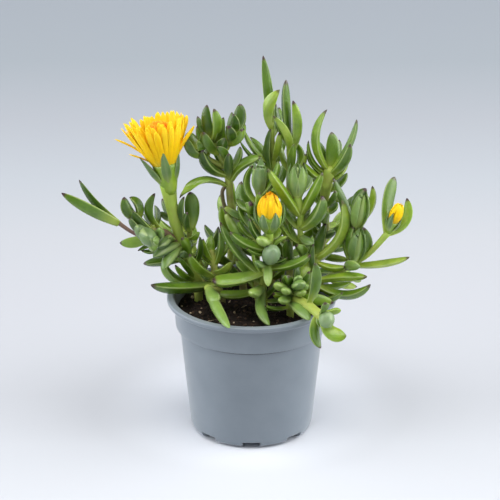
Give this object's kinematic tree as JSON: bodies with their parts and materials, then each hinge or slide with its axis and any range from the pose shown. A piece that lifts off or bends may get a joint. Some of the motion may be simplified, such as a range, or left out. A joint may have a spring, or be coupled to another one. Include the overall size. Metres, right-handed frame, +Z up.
{
  "type": "potted ice plant sold as portulaca",
  "caption": "Young succulent with finger-like leaves on upright stems, a yellow many-petalled bloom and buds, growing in soil in a round tapered nursery pot.",
  "frame": {"origin": "on the axis of the pot, on the surface that it stands on", "axes": "+Z up along the pot's axis; the fullest side of the plant, with the open bloom on the left, faces -Y"},
  "size_m": [0.2127, 0.1255, 0.238],
  "materials": {
    "pot": "matte moulded polypropylene, blue-grey",
    "peat": "moist crumbled peat",
    "leaf": "fleshy, faintly waxy green, purple at the tips",
    "petal": "satin golden yellow",
    "stamen": "powdery orange"
  },
  "bodies": {
    "root": {"pot": "pot", "soil": "peat", "bloom_shoot": "leaf", "low_left_shoot": "leaf", "head_shoot": "leaf", "closed_bud_shoot": "leaf", "tallest_shoot": "leaf", "tall_shoot": "leaf", "big_bud_shoot": "leaf", "upper_right_shoot": "leaf", "right_shoot": "leaf", "low_right_shoot": "leaf", "front_bud_shoot": "leaf", "rim_shoot": "leaf", "back_left_shoot": "leaf", "back_middle_shoot": "leaf", "back_centre_shoot": "leaf", "back_right_shoot": "leaf", "back_outer_shoot": "leaf", "bloom_petals": "petal", "front_bud_petals": "petal", "outer_bud_petals": "petal", "bloom_stamens": "stamen"}
  },
  "joints": []
}
